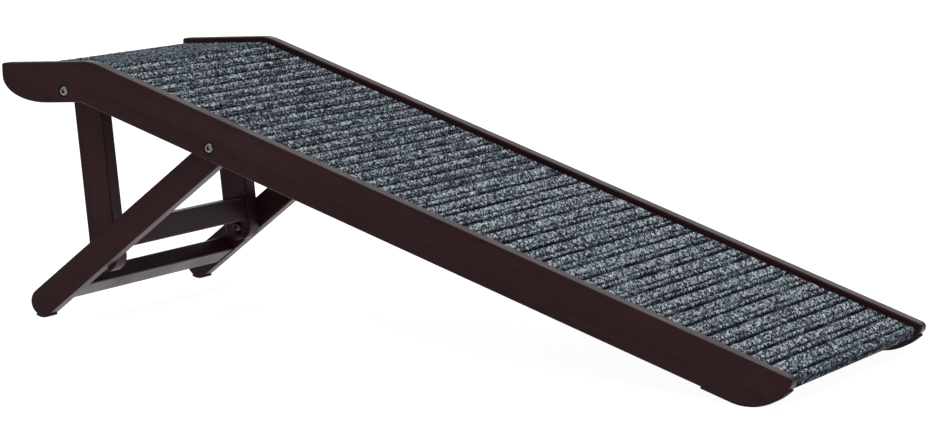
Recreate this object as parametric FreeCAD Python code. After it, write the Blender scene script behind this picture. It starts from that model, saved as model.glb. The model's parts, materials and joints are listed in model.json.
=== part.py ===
"""Folding wooden pet ramp: two bent side boards carry a carpeted deck, a braced leg frame
and a prop frame hold its platform end up, and both frames fold flat under the deck.

Millimetres. +X runs down the ramp to its low end, +Z is up, the floor is z = 0, and the
origin is on the floor under the middle of the ramp. Left is -Y and right is +Y.
"""
import FreeCAD, Part
import math
import os

os.makedirs("parts", exist_ok=True)
V = FreeCAD.Vector

# ---- overall sizes -------------------------------------------------------------------------
WIDTH = 400.0                  # over the outer faces of the two side boards
BEND_HEIGHT = 292.0            # floor to the boards' top edge at the bend, before rounding
RAMP_LENGTH = 871.0            # bend to the nose's sharp corner, along the top edge
PLATFORM_LENGTH = 114.3        # bend to the free end, along the top edge
PLATFORM_TILT = 4.8            # degrees that the platform drops towards its free end

# ---- side boards ---------------------------------------------------------------------------
BOARD_T = 17.0                 # thickness
BOARD_H = 46.6                 # depth of the ramp part, square to the top edge
PLATFORM_H = 44.5              # depth of the platform part
BEND_TOP_R = 45.0              # rounding of the bend's top corner
BEND_UNDER_R = 14.0            # rounding of the bend's inner corner
NOSE_RAKE = 22.0               # degrees that the nose's front leans back
NOSE_TOP_R = 6.5               # rounding of the nose's top corner
NOSE_R = 58.0                  # large round that rolls onto the floor
END_TOP_R = 3.0                # rounding of the platform end's top corner
END_CURVE_X = 56.0             # quarter ellipse under the platform end: along
END_CURVE_Z = 30.2             # quarter ellipse under the platform end: deep
EDGE_R = 1.8                   # rounded arrises of boards and legs

# ---- deck ----------------------------------------------------------------------------------
SINK = 6.6                     # carpet surface below the boards' top edge
CARPET_T = 3.6
PANEL_T = 4.0
DECK_SETBACK = 9.5             # deck's low edge, short of the nose's sharp corner
CARPET_LIP = 3.0               # carpet turned down over the panel's low edge
LIP_HANG = 3.4                 # turned-down carpet's edge below the panel's underside
PANEL_GAP = 0.3                # panel to side board
CARPET_GAP = 0.6               # carpet to side board
LEDGER_T = 5.0                 # strip on each board's inner face that carries the panels
LEDGER_UNDER_BOLT = 5.7        # ledger below a pivot bolt's centre
LEDGER_SETBACK = 39.0          # ramp ledger's low end, short of the nose's sharp corner
PLATFORM_LEDGER_SETBACK = 26.5     # platform ledger's end, short of the free end
STRETCHER_W = 24.0             # along the deck
STRETCHER_D = 18.0             # below the panel
END_STRETCHER_SETBACK = 18.5   # platform stretcher's centre, in from the free end
MID_STRETCHER_CLEAR = 25.5     # middle stretcher, past the folded long legs' feet
LOW_STRETCHER_SETBACK = 57.0   # low stretcher's centre, short of the nose's sharp corner

# ---- legs ----------------------------------------------------------------------------------
BRACE_T = 19.0                 # thickness of the long legs
PROP_T = 22.0                  # thickness of the short legs
BRACE_W = 31.0                 # width of the long slanting legs
PROP_W = 34.0                  # width of the short upright legs
BRACE_PIVOT_ALONG = 169.5      # long legs' pivot from the bend, down the ramp
PROP_PIVOT_BACK = 35.2         # short legs' pivot from the bend, along the platform
BRACE_CLEAR = 3.65             # folded long leg to the panel's underside
PROP_CLEAR = 0.75              # short leg's round top to the panel's underside
FOOT_SETBACK = 42.2            # foot's contact with the floor, in from the platform end
HOOK_FROM_FOOT = 85.4          # hook bolt from the foot's centre, up the long leg
HOOK_ASIDE = 2.7               # hook bolt off the long leg's centre line, to its underside
LEG_GAP = 1.0                  # between a long leg and the short leg beside it
RAIL_W = 27.2                  # cross rails' section, along the legs
RAIL_T = 19.0                  # cross rails' section, across the legs
LOWER_RAIL_INSET = 1.0         # lower rail's outer face in from the long legs' edge
UPPER_RAIL_INSET = 3.0         # upper rail's outer face in from the short legs' edge
LOWER_RAIL_FROM_FOOT = 36.9    # lower rail's centre from the foot's centre
RAIL_TO_HOOK = 2.3             # upper rail to the hook bolt's head
DOWEL_R = 4.0
DOWEL_IN_LEG = 14.0
DOWEL_IN_RAIL = 16.0
DOWEL_SPREAD = 7.0             # each dowel from the rail's centre

# ---- rubber pads ---------------------------------------------------------------------------
PAD_T = 2.0
PAD_INSET = 1.0                # pad narrower than its wood, each side
FOOT_PAD_SPAN = 30.0           # degrees each side of straight down
NOSE_PAD_RUN = 92.5            # pad's upper end, short of the nose's sharp corner
NOSE_PAD_TURN = 65.0           # degrees of the large round that the pad covers

# ---- fasteners -----------------------------------------------------------------------------
BOLT_R = 3.0
HEAD_R = 5.25
HEAD_H = 3.3
SOCKET_ACROSS = 4.6            # hexagon socket, across flats
SOCKET_DEPTH = 2.6
SINKING_R = 6.5                # shallow counterbore round a pivot bolt's head
SINKING_DEPTH = 2.7
HOOK_R = 3.2                   # shoulder that the short leg's slot hooks over
HOOK_HEAD_R = 4.9
HOOK_HEAD_H = 4.0
INSERT_R = 5.0                 # threaded insert in a leg
INSERT_L = 13.0
BOLT_END_GAP = 1.0             # end of a bolt to the bottom of its blind hole
WASHER_R = 9.0
WASHER_T = 1.0
SPACER_R = 10.0
SCREW_R = 1.75
SCREW_HEAD_R = 3.5
SCREW_HEAD_H = 2.2
SCREW_IN_BOARD = 11.0
SCREW_COUNT = 5                # along each ramp ledger
NAIL_R = 1.0
NAIL_HEAD_R = 1.9
NAIL_HEAD_H = 0.6
NAIL_L = 13.0
NAIL_COUNT = 8                 # along each edge of the ramp panel

# ---- clearances ----------------------------------------------------------------------------
RUN = 0.08                     # bolt turning in a hole, on the radius
SEAT = 0.05                    # glued or screwed pieces, face to face on a curve
SLIDE = 0.1                    # between faces that slide past each other
SLOT_PLAY = 0.3                # slot round the hook bolt, on the radius
SLOT_FLARE = 2.0               # slot's mouth wider than its seat, each side
SLOT_LEAN = 4.0                # degrees that the slot leans off the short leg's centre line

# ---- places worked out from the sizes ------------------------------------------------------
DECK_LENGTH = RAMP_LENGTH - DECK_SETBACK
PANEL_TOP = SINK + CARPET_T
PANEL_UNDER = PANEL_TOP + PANEL_T
NOSE_BACK = RAMP_LENGTH - BOARD_H * math.tan(math.radians(NOSE_RAKE))
NOSE_TANGENT = NOSE_R / math.tan(math.radians(45 + NOSE_RAKE / 2))
NOSE_CENTRE = (NOSE_BACK - NOSE_TANGENT, BOARD_H - NOSE_R)
SLOPE = (math.asin((BEND_HEIGHT - NOSE_R - PAD_T) / math.hypot(*NOSE_CENTRE))
         - math.atan2(NOSE_CENTRE[1], NOSE_CENTRE[0]))
TILT = math.radians(PLATFORM_TILT)
BEND = SLOPE + TILT
X_LEFT = -PLATFORM_LENGTH * math.cos(TILT)
NOSE_TIP = RAMP_LENGTH - NOSE_TOP_R / math.tan(math.radians(45 - NOSE_RAKE / 2))
X_RIGHT = NOSE_TIP * math.cos(SLOPE) + NOSE_TOP_R * (1 - math.sin(SLOPE))
BEND_X = -(X_LEFT + X_RIGHT) / 2
LEDGER_END = RAMP_LENGTH - LEDGER_SETBACK
PLATFORM_LEDGER_END = PLATFORM_LENGTH - PLATFORM_LEDGER_SETBACK

BOARD_IN = WIDTH / 2 - BOARD_T               # boards' inner face, from the middle plane
LEDGER_IN = BOARD_IN - LEDGER_T
BRACE_OUT = LEDGER_IN - WASHER_T - SLIDE
BRACE_IN = BRACE_OUT - BRACE_T
PROP_OUT = BRACE_IN - LEG_GAP
PROP_IN = PROP_OUT - PROP_T
LOWER_RAIL_OUT = BRACE_W / 2 - LOWER_RAIL_INSET   # from the long legs' centre line
UPPER_RAIL_OUT = PROP_W / 2 - UPPER_RAIL_INSET    # from the short legs' centre line


def on_ramp(along, below):
    """Point in the XZ plane: down the ramp from the bend, and square below the top edge."""
    x = BEND_X + along * math.cos(SLOPE) - below * math.sin(SLOPE)
    z = BEND_HEIGHT - along * math.sin(SLOPE) - below * math.cos(SLOPE)
    return V(x, 0, z)


def on_platform(back, below):
    """Point in the XZ plane: back from the bend to the free end, and square below the edge."""
    x = BEND_X - back * math.cos(TILT) + below * math.sin(TILT)
    z = BEND_HEIGHT - back * math.sin(TILT) - below * math.cos(TILT)
    return V(x, 0, z)


def under_bend(ramp_below, platform_below=None):
    """Where the ramp's and the platform's lines meet, each at its own depth, under the bend."""
    other = ramp_below if platform_below is None else platform_below
    along = (other - ramp_below * math.cos(BEND)) / math.sin(BEND)
    return on_ramp(along, ramp_below)


def beside(direction):
    """Unit vector square to a leg, on the side that faces down the ramp."""
    return V(-direction.z, 0, direction.x)


LEDGER_UNDER = PANEL_UNDER + BRACE_CLEAR + BRACE_W / 2 + LEDGER_UNDER_BOLT
BRACE_PIVOT = on_ramp(BRACE_PIVOT_ALONG, PANEL_UNDER + BRACE_CLEAR + BRACE_W / 2)
PROP_PIVOT = on_platform(PROP_PIVOT_BACK, PANEL_UNDER + PROP_CLEAR + PROP_W / 2)
FOOT = V(BEND_X + X_LEFT + FOOT_SETBACK, 0, BRACE_W / 2 + PAD_T)
BRACE_DIR = (FOOT - BRACE_PIVOT).normalize()
HOOK = FOOT - BRACE_DIR * HOOK_FROM_FOOT + beside(BRACE_DIR) * HOOK_ASIDE
PROP_DIR = (HOOK - PROP_PIVOT).normalize()
PROP_LENGTH = (HOOK - PROP_PIVOT).Length
FOLDED_REACH = BRACE_PIVOT_ALONG + (FOOT - BRACE_PIVOT).Length + BRACE_W / 2 + PAD_T
UPPER_RAIL = PROP_PIVOT + PROP_DIR * (PROP_LENGTH - HOOK_HEAD_R - RAIL_TO_HOOK - RAIL_W / 2)
LOWER_RAIL = FOOT - BRACE_DIR * LOWER_RAIL_FROM_FOOT


# ---- shape helpers -------------------------------------------------------------------------
def turn(before, corner, after, radius):
    """Start, middle and end of the arc that rounds one corner."""
    a = (before - corner).normalize()
    b = (after - corner).normalize()
    half = a.getAngle(b) / 2
    inward = (a + b).normalize()
    centre = corner + inward * (radius / math.sin(half))
    reach = radius / math.tan(half)
    return corner + a * reach, centre - inward * radius, corner + b * reach


def ring(corners):
    """Closed wire through [(point, radius), ...], each corner rounded by its radius."""
    edges = []
    spans = []
    for i, (corner, radius) in enumerate(corners):
        start = corner
        end = corner
        if radius:
            start, middle, end = turn(corners[i - 1][0], corner, corners[(i + 1) % len(corners)][0],
                                      radius)
            edges.append(Part.Arc(start, middle, end).toShape())
        spans.append((start, end))
    for i, (start, end) in enumerate(spans):
        following = spans[(i + 1) % len(spans)][0]
        if (following - end).Length > 1e-4:
            edges.append(Part.makeLine(end, following))
    return Part.Wire(Part.__sortEdges__(edges))


def slab(wire, y_from, y_to):
    """Solid between two planes square to Y, from an outline in the XZ plane."""
    face = Part.Face(wire)
    face.translate(V(0, y_from, 0))
    return face.extrude(V(0, y_to - y_from, 0))


def softened(solid, radius):
    """Round every edge that lies in a plane square to Y."""
    flat = [edge for edge in solid.Edges if edge.BoundBox.YLength < 1e-6]
    return solid.makeFillet(radius, flat)


def stadium(first, second, radius):
    """Outline of a straight leg with a half-round at each end."""
    along = (second - first).normalize()
    side = beside(along)
    a = first + side * radius
    b = second + side * radius
    c = second - side * radius
    d = first - side * radius
    return Part.Wire([Part.makeLine(a, b), Part.Arc(b, second + along * radius, c).toShape(),
                      Part.makeLine(c, d), Part.Arc(d, first - along * radius, a).toShape()])


def rod(point, radius, y_from, y_to):
    """Cylinder along Y through a point of the XZ plane."""
    start = min(y_from, y_to)
    return Part.makeCylinder(radius, abs(y_to - y_from), V(point.x, start, point.z), V(0, 1, 0))


def on_side(solid, side):
    """The solid as made for the right side (+Y), or its mirror image on the left."""
    if side > 0:
        return solid
    return solid.mirror(V(0, 0, 0), V(0, 1, 0))


def save(name, solids):
    """Write one node: a single solid, or a group of separate identical solids."""
    shape = solids[0] if len(solids) == 1 else Part.makeCompound(solids)
    shape.exportStep("parts/" + name + ".step")


# ---- side boards, ledgers and nose pads ------------------------------------------------------
def board_outline():
    """Platform edge, bend, ramp edge and raked round nose; a quarter ellipse under the end."""
    straight = PLATFORM_H - END_CURVE_Z
    curve_start = on_platform(PLATFORM_LENGTH, straight)
    curve_end = on_platform(PLATFORM_LENGTH - END_CURVE_X, PLATFORM_H)
    centre = on_platform(PLATFORM_LENGTH - END_CURVE_X, straight)
    corners = [(on_platform(PLATFORM_LENGTH, 0), END_TOP_R), (on_platform(0, 0), BEND_TOP_R),
               (on_ramp(RAMP_LENGTH, 0), NOSE_TOP_R), (on_ramp(NOSE_BACK, BOARD_H), NOSE_R),
               (under_bend(BOARD_H, PLATFORM_H), BEND_UNDER_R)]
    points = [curve_start] + [corner for corner, radius in corners] + [curve_end]
    edges = []
    last = curve_start
    for i, (corner, radius) in enumerate(corners):
        start, middle, end = turn(points[i], corner, points[i + 2], radius)
        edges.append(Part.makeLine(last, start))
        edges.append(Part.Arc(start, middle, end).toShape())
        last = end
    edges.append(Part.makeLine(last, curve_end))
    ellipse = Part.Ellipse(curve_start, curve_end, centre)
    edges.append(Part.Arc(ellipse, 0, math.pi / 2).toShape())
    return Part.Wire(Part.__sortEdges__(edges))


def ledger_screw_places():
    """Screw centres on one side: evenly down the ramp ledger, and one on the platform's."""
    below = (PANEL_UNDER + LEDGER_UNDER) / 2
    pitch = LEDGER_END / SCREW_COUNT
    ramp = [on_ramp(pitch * (i + 0.5), below) for i in range(SCREW_COUNT)]
    return ramp + [on_platform(PLATFORM_LEDGER_END - 3 * SCREW_HEAD_R, below)]


def screw(point, grow):
    """Countersunk screw driven outwards from the ledger's inner face; grow makes its hole."""
    tip = BOARD_IN + SCREW_IN_BOARD + grow
    head = Part.makeCone(SCREW_HEAD_R + grow, SCREW_R + grow, SCREW_HEAD_H,
                         V(point.x, LEDGER_IN, point.z), V(0, 1, 0))
    return rod(point, SCREW_R + grow, LEDGER_IN, tip).fuse(head).removeSplitter()


def nail_places(panel):
    """Nail heads along both edges of one panel: (point, direction into the wood)."""
    if panel == "ramp":
        pitch = LEDGER_END / NAIL_COUNT
        down = (on_ramp(0, 1) - on_ramp(0, 0)).normalize()
        return [(on_ramp(pitch * (i + 0.5), PANEL_TOP), down) for i in range(NAIL_COUNT)]
    down = (on_platform(0, 1) - on_platform(0, 0)).normalize()
    return [(on_platform(PLATFORM_LEDGER_END * part, PANEL_TOP), down) for part in (0.2, 0.8)]


def nail(place, down, y, grow):
    """Wire nail with a flat head; grow makes its hole."""
    start = V(place.x, y, place.z)
    head = Part.makeCylinder(NAIL_HEAD_R + grow, NAIL_HEAD_H, start, down)
    return Part.makeCylinder(NAIL_R + grow, NAIL_L + grow, start, down).fuse(head)


def nails(panel, grow, sides=(-1, 1)):
    middle = (LEDGER_IN + BOARD_IN) / 2
    return [nail(place, down, side * middle, grow) for place, down in nail_places(panel)
            for side in sides]


def side_board():
    board = softened(slab(board_outline(), BOARD_IN, WIDTH / 2), EDGE_R)
    for pivot in (BRACE_PIVOT, PROP_PIVOT):
        board = board.cut(rod(pivot, BOLT_R + RUN, BOARD_IN, WIDTH / 2))
        board = board.cut(rod(pivot, SINKING_R, WIDTH / 2 - SINKING_DEPTH, WIDTH / 2))
    for place in ledger_screw_places():
        board = board.cut(screw(place, SEAT))
    return board


def ramp_ledger():
    wire = ring([(under_bend(PANEL_UNDER), 0), (on_ramp(LEDGER_END, PANEL_UNDER), 0),
                 (on_ramp(LEDGER_END, LEDGER_UNDER), LEDGER_T), (under_bend(LEDGER_UNDER), 0)])
    strip = slab(wire, LEDGER_IN, BOARD_IN)
    strip = strip.cut(rod(BRACE_PIVOT, BOLT_R + RUN, LEDGER_IN, BOARD_IN))
    for place in ledger_screw_places()[:-1]:
        strip = strip.cut(screw(place, SEAT))
    for pin in nails("ramp", SEAT, (1,)):
        strip = strip.cut(pin)
    return strip


def platform_ledger():
    wire = ring([(under_bend(PANEL_UNDER), 0), (on_platform(PLATFORM_LEDGER_END, PANEL_UNDER), 0),
                 (on_platform(PLATFORM_LEDGER_END, LEDGER_UNDER), LEDGER_T),
                 (under_bend(LEDGER_UNDER), 0)])
    strip = slab(wire, LEDGER_IN, BOARD_IN)
    strip = strip.cut(rod(PROP_PIVOT, BOLT_R + RUN, LEDGER_IN, BOARD_IN))
    for pin in nails("platform", SEAT, (1,)):
        strip = strip.cut(pin)
    return strip.cut(screw(ledger_screw_places()[-1], SEAT))


def nose_pad():
    """Rubber strip under the nose: a flat run, then most of the way round the large curve."""
    start = RAMP_LENGTH - NOSE_PAD_RUN

    def at(radius, degrees):
        angle = math.radians(degrees)
        return on_ramp(NOSE_CENTRE[0] + radius * math.sin(angle),
                       NOSE_CENTRE[1] + radius * math.cos(angle))

    def curve(radius):
        return Part.Arc(at(radius, 0), at(radius, NOSE_PAD_TURN / 2), at(radius, NOSE_PAD_TURN))

    inner = NOSE_R + SEAT
    outer = NOSE_R + PAD_T
    wire = Part.Wire([Part.makeLine(on_ramp(start, BOARD_H + SEAT), at(inner, 0)),
                      curve(inner).toShape(),
                      Part.makeLine(at(inner, NOSE_PAD_TURN), at(outer, NOSE_PAD_TURN)),
                      Part.Edge(curve(outer).toShape().reversed()),
                      Part.makeLine(at(outer, 0), on_ramp(start, BOARD_H + PAD_T)),
                      Part.makeLine(on_ramp(start, BOARD_H + PAD_T), on_ramp(start, BOARD_H + SEAT))])
    return slab(wire, BOARD_IN + PAD_INSET, WIDTH / 2 - PAD_INSET)


# ---- deck ------------------------------------------------------------------------------------
def panel_solid(name):
    half = BOARD_IN - PANEL_GAP
    if name == "ramp":
        end = DECK_LENGTH - CARPET_LIP
        low = [(on_ramp(end, PANEL_TOP), 0), (on_ramp(end, PANEL_UNDER), 0)]
    else:
        low = [(on_platform(PLATFORM_LENGTH, PANEL_TOP), 0),
               (on_platform(PLATFORM_LENGTH, PANEL_UNDER), 0)]
    wire = ring([(under_bend(PANEL_TOP), 0)] + low + [(under_bend(PANEL_UNDER), 0)])
    solid = slab(wire, -half, half)
    for pin in nails(name, SEAT):
        solid = solid.cut(pin)
    return solid


def carpet():
    """One sheet over platform and ramp, turned down over the panel's low edge."""
    half = BOARD_IN - CARPET_GAP
    top_bend = (under_bend(SINK), BEND_TOP_R - SINK)
    wire = ring([(on_platform(PLATFORM_LENGTH, SINK), 1.0), top_bend,
                 (on_ramp(DECK_LENGTH, SINK), CARPET_LIP - SEAT),
                 (on_ramp(DECK_LENGTH, PANEL_UNDER + LIP_HANG), 0),
                 (on_ramp(DECK_LENGTH - CARPET_LIP + SEAT, PANEL_UNDER + LIP_HANG), 0),
                 (on_ramp(DECK_LENGTH - CARPET_LIP + SEAT, PANEL_TOP), 0),
                 (under_bend(PANEL_TOP), 0), (on_platform(PLATFORM_LENGTH, PANEL_TOP), 0)])
    return slab(wire, -half, half)


def stretcher(place, centre):
    """Cross piece under the panels, between the ledgers."""
    near = centre - STRETCHER_W / 2
    far = centre + STRETCHER_W / 2
    under = PANEL_UNDER + STRETCHER_D
    wire = ring([(place(near, PANEL_UNDER), 0), (place(far, PANEL_UNDER), 0),
                 (place(far, under), EDGE_R), (place(near, under), EDGE_R)])
    return slab(wire, -LEDGER_IN, LEDGER_IN)


# ---- bolts and what they turn in ---------------------------------------------------------------
def hexagon(point, y_from, y_to):
    """Hexagon prism along Y, the socket of a bolt's head."""
    reach = SOCKET_ACROSS / math.sqrt(3)
    corners = [V(point.x + reach * math.cos(math.radians(60 * i)), 0,
                 point.z + reach * math.sin(math.radians(60 * i))) for i in range(6)]
    return slab(Part.makePolygon(corners + corners[:1]), y_from, y_to)


def bolt(point, radius, head_radius, head_height, y_head, y_tip):
    """Domed socket bolt: head seated at y_head, shank running to y_tip."""
    way = 1 if y_head > y_tip else -1
    top = y_head + way * head_height
    head = rod(point, head_radius, y_head, top)
    rim = [edge for edge in head.Edges if abs(edge.CenterOfMass.y - top) < 1e-6]
    head = head.makeFillet(head_height * 0.55, rim)
    body = head.fuse(rod(point, radius, y_head, y_tip)).removeSplitter()
    return body.cut(hexagon(point, top - way * SOCKET_DEPTH, top))


def pivot_bolt(pivot, leg_out):
    """Through the board and ledger into the insert of the leg whose outer face is given."""
    return bolt(pivot, BOLT_R, HEAD_R, HEAD_H, WIDTH / 2 - SINKING_DEPTH, leg_out - INSERT_L)


def insert(point, y_mouth, way, bore):
    """Threaded insert set into a leg from its face at y_mouth."""
    y_end = y_mouth + way * INSERT_L
    return rod(point, INSERT_R, y_mouth, y_end).cut(rod(point, bore, y_mouth, y_end))


def blind(point, y_mouth, way):
    """Hole for an insert, a little deeper than the bolt's end."""
    return rod(point, INSERT_R + SEAT, y_mouth, y_mouth + way * (INSERT_L + BOLT_END_GAP))


def hook_bolt():
    """Shoulder bolt from the short leg's inner face, through its slot, into the long leg."""
    return bolt(HOOK, HOOK_R, HOOK_HEAD_R, HOOK_HEAD_H, PROP_IN - SLIDE, BRACE_IN + INSERT_L)


def hook_insert():
    thread = rod(HOOK, HOOK_R + SEAT, BRACE_IN, BRACE_IN + INSERT_L)
    return rod(HOOK, INSERT_R + HOOK_R - BOLT_R, BRACE_IN, BRACE_IN + INSERT_L).cut(thread)


def hook_blind():
    radius = INSERT_R + HOOK_R - BOLT_R + SEAT
    return rod(HOOK, radius, BRACE_IN, BRACE_IN + INSERT_L + BOLT_END_GAP)


def washer():
    solid = rod(BRACE_PIVOT, WASHER_R, LEDGER_IN - WASHER_T, LEDGER_IN)
    return solid.cut(rod(BRACE_PIVOT, BOLT_R + RUN, LEDGER_IN - WASHER_T, LEDGER_IN))


def spacer():
    solid = rod(PROP_PIVOT, SPACER_R, PROP_OUT + SLIDE, LEDGER_IN)
    return solid.cut(rod(PROP_PIVOT, BOLT_R + RUN, PROP_OUT + SLIDE, LEDGER_IN))


# ---- leg frames ----------------------------------------------------------------------------------
def dowel_places(rail_centre, direction, outer):
    """Two dowels per joint, on the rail's centre line, spread along the leg."""
    middle = rail_centre + beside(direction) * (outer - RAIL_T / 2)
    return [middle + direction * (step * DOWEL_SPREAD) for step in (-1, 1)]


def dowels(places, leg_in, grow):
    return [rod(place, DOWEL_R + grow, leg_in - DOWEL_IN_RAIL - grow, leg_in + DOWEL_IN_LEG + grow)
            for place in places]


def rail(centre, direction, outer, leg_in):
    """Cross rail between two legs, its outer face at the given distance from their centre line."""
    side = beside(direction)
    inner = outer - RAIL_T
    corners = [centre + direction * (along * RAIL_W / 2) + side * across
               for along, across in ((-1, outer), (1, outer), (1, inner), (-1, inner))]
    solid = slab(ring([(corner, EDGE_R) for corner in corners]), -leg_in, leg_in)
    for hole in dowels(dowel_places(centre, direction, outer), leg_in, SEAT):
        for way in (-1, 1):
            solid = solid.cut(on_side(hole, way))
    return solid


def brace_leg():
    leg = softened(slab(stadium(BRACE_PIVOT, FOOT, BRACE_W / 2), BRACE_IN, BRACE_OUT), EDGE_R)
    leg = leg.cut(blind(BRACE_PIVOT, BRACE_OUT, -1)).cut(hook_blind())
    for hole in dowels(dowel_places(LOWER_RAIL, BRACE_DIR, LOWER_RAIL_OUT), BRACE_IN, SEAT):
        leg = leg.cut(hole)
    return leg


def hook_slot():
    """Slot open at the short leg's lower end: a round seat for the hook, flaring to its mouth."""
    lean = math.radians(SLOT_LEAN)
    out = PROP_DIR * math.cos(lean) + beside(PROP_DIR) * math.sin(lean)
    side = beside(out)
    seat = HOOK_R + SLOT_PLAY
    mouth = HOOK + out * PROP_W
    wire = Part.makePolygon([HOOK + side * seat, mouth + side * (seat + SLOT_FLARE),
                             mouth - side * (seat + SLOT_FLARE), HOOK - side * seat,
                             HOOK + side * seat])
    way_out = slab(wire, PROP_IN - SLIDE, PROP_OUT + SLIDE)
    return way_out.fuse(rod(HOOK, seat, PROP_IN - SLIDE, PROP_OUT + SLIDE))


def prop_leg():
    leg = softened(slab(stadium(PROP_PIVOT, HOOK, PROP_W / 2), PROP_IN, PROP_OUT), EDGE_R)
    leg = leg.cut(blind(PROP_PIVOT, PROP_OUT, -1)).cut(hook_slot())
    for hole in dowels(dowel_places(UPPER_RAIL, PROP_DIR, UPPER_RAIL_OUT), PROP_IN, SEAT):
        leg = leg.cut(hole)
    return leg


def foot_pad():
    """Rubber sector round the foot's lower side."""
    inner = BRACE_W / 2 + SEAT
    outer = BRACE_W / 2 + PAD_T

    def at(radius, degrees):
        angle = math.radians(degrees - 90)
        return FOOT + V(radius * math.cos(angle), 0, radius * math.sin(angle))

    span = FOOT_PAD_SPAN
    wire = Part.Wire([Part.Arc(at(inner, -span), at(inner, 0), at(inner, span)).toShape(),
                      Part.makeLine(at(inner, span), at(outer, span)),
                      Part.Arc(at(outer, span), at(outer, 0), at(outer, -span)).toShape(),
                      Part.makeLine(at(outer, -span), at(inner, -span))])
    return slab(wire, BRACE_IN + PAD_INSET, BRACE_OUT - PAD_INSET)


# ---- write every node --------------------------------------------------------------------------
PAIRS = {"side_board": side_board, "ramp_ledger": ramp_ledger, "platform_ledger": platform_ledger,
         "nose_pad": nose_pad, "brace_leg": brace_leg, "foot_pad": foot_pad, "prop_leg": prop_leg}
for name, make in PAIRS.items():
    right = make()
    for word, way in (("left", -1), ("right", 1)):
        save(name + "_" + word, [on_side(right, way)])

GROUPS = {
    "brace_pivot_bolts": [pivot_bolt(BRACE_PIVOT, BRACE_OUT)],
    "prop_pivot_bolts": [pivot_bolt(PROP_PIVOT, PROP_OUT)],
    "brace_inserts": [insert(BRACE_PIVOT, BRACE_OUT, -1, BOLT_R + SEAT)],
    "prop_inserts": [insert(PROP_PIVOT, PROP_OUT, -1, BOLT_R + SEAT)],
    "hook_bolts": [hook_bolt()],
    "hook_inserts": [hook_insert()],
    "brace_washers": [washer()],
    "prop_spacers": [spacer()],
    "ledger_screws": [screw(place, 0) for place in ledger_screw_places()],
    "lower_rail_dowels": dowels(dowel_places(LOWER_RAIL, BRACE_DIR, LOWER_RAIL_OUT), BRACE_IN, 0),
    "upper_rail_dowels": dowels(dowel_places(UPPER_RAIL, PROP_DIR, UPPER_RAIL_OUT), PROP_IN, 0),
}
for name, solids in GROUPS.items():
    save(name, [on_side(solid, way) for solid in solids for way in (-1, 1)])

save("ramp_panel", [panel_solid("ramp")])
save("platform_panel", [panel_solid("platform")])
save("panel_nails", nails("ramp", 0) + nails("platform", 0))
save("carpet", [carpet()])
save("platform_stretcher", [stretcher(on_platform, PLATFORM_LENGTH - END_STRETCHER_SETBACK)])
save("mid_stretcher", [stretcher(on_ramp, FOLDED_REACH + MID_STRETCHER_CLEAR + STRETCHER_W / 2)])
save("low_stretcher", [stretcher(on_ramp, RAMP_LENGTH - LOW_STRETCHER_SETBACK)])
save("lower_rail", [rail(LOWER_RAIL, BRACE_DIR, LOWER_RAIL_OUT, BRACE_IN)])
save("upper_rail", [rail(UPPER_RAIL, PROP_DIR, UPPER_RAIL_OUT, PROP_IN)])

print("ramp slope", round(math.degrees(SLOPE), 2), "degrees")
for name, point in (("brace pivot", BRACE_PIVOT), ("prop pivot", PROP_PIVOT), ("hook", HOOK),
                    ("foot", FOOT), ("bend", on_ramp(0, 0))):
    print(name, round(point.x, 3), round(point.z, 3))
print("brace direction", round(math.degrees(math.atan2(BRACE_DIR.z, BRACE_DIR.x)), 3))
print("prop direction", round(math.degrees(math.atan2(PROP_DIR.z, PROP_DIR.x)), 3))
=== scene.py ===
# %% [markdown]
# # A folding pet ramp, dressed for its portrait
# The ramp is two dark bent side boards with a ribbed carpet sunk between them. A pair of
# slanting legs and a pair of upright legs hold its platform end up, and both fold flat
# under the deck. The woodwork, bolts and pads come in as a fixed frame, already in place
# and in metres, so this lesson gives them finishes and makes the one soft thing: the carpet.

# %% The fixed frame
import json
import math

import bpy
import numpy as np
from mathutils import Euler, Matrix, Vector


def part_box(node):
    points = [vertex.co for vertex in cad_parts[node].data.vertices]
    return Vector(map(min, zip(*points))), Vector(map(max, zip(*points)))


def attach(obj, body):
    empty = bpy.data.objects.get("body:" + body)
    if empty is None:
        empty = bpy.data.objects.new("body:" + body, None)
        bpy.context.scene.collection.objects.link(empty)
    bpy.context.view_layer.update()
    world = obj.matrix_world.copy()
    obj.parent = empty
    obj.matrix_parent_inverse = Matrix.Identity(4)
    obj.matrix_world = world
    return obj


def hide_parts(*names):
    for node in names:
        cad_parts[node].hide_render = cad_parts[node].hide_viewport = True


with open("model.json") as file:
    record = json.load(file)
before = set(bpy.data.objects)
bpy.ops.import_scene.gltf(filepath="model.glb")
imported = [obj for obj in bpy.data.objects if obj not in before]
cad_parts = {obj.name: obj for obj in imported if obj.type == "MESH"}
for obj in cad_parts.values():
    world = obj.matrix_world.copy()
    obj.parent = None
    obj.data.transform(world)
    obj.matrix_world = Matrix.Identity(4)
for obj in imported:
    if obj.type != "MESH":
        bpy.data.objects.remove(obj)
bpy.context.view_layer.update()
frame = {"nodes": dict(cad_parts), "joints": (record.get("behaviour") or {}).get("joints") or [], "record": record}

NODES = frame["nodes"]
RECORD = frame["record"]
print("pieces in the frame:", len(NODES))

# %% [markdown]
# ## The two planes of the deck
# Everything soft lies on two planes: the long slope and the short platform. The record
# keeps a flat mount on each of them, with a point and the direction that faces away from
# it. Two planes are enough to find the crease where they meet, so no place is typed in.

# %% Directions and the crease
MOUNTS = {mount["name"]: mount for mount in RECORD["mounts"]}


def plane_of(mount_name):
    """A mount's point and facing direction, both in the plane of the side view (x, z)."""
    mount = MOUNTS[mount_name]
    point = np.array(mount["pos_m"])[[0, 2]]
    facing = np.array(mount["axis"])[[0, 2]]
    return point, facing / np.linalg.norm(facing)


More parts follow.
